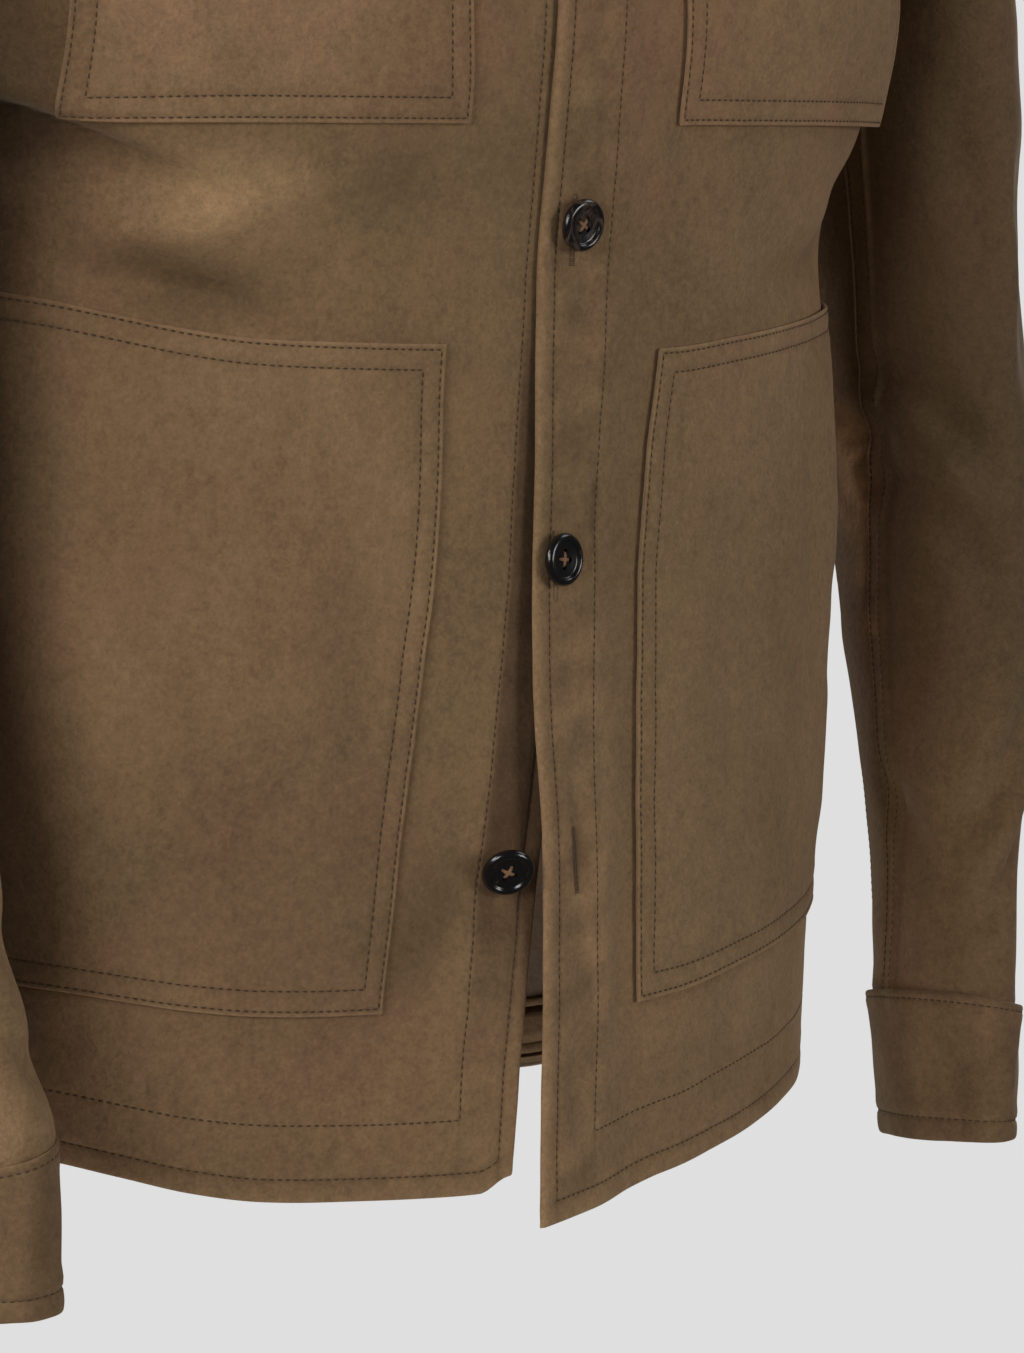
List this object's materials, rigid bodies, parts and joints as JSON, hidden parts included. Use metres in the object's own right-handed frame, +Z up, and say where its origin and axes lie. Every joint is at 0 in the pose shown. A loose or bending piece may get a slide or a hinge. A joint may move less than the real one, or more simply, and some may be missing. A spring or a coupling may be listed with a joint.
{
  "type": "worn suede coat",
  "caption": "Hollow worn overshirt coat in suede: shirt collar, buttoned front open at the hem, patch pockets on chest and hips, long sleeves with plain cuffs.",
  "frame": {"origin": "centre of the neck, level with the neck ends of the shoulder seams, where a wearer holds the coat up", "axes": "+Z up, -Y the way the wearer faces, +X the wearer's left"},
  "size_m": [0.6206, 0.3102, 0.7819],
  "materials": {
    "suede": "napped suede, matt",
    "suede_pocket": "napped suede, matt",
    "suede_facing": "napped suede, matt",
    "horn": "polished dark horn"
  },
  "bodies": {
    "root": {"back": "suede", "back_hem_facing": "suede_facing", "front_left": "suede", "front_right": "suede", "sleeve_outer_left": "suede", "sleeve_inner_left": "suede", "sleeve_outer_right": "suede", "sleeve_inner_right": "suede", "cuff_left": "suede", "cuff_right": "suede", "collar_stand": "suede", "collar_leaf": "suede", "pocket_chest_left": "suede_pocket", "pocket_chest_right": "suede_pocket", "pocket_low_left": "suede_pocket", "pocket_low_right": "suede_pocket", "button_1": "horn", "button_2": "horn", "button_3": "horn", "button_4": "horn", "button_5": "horn", "button_collar": "horn"}
  },
  "joints": []
}
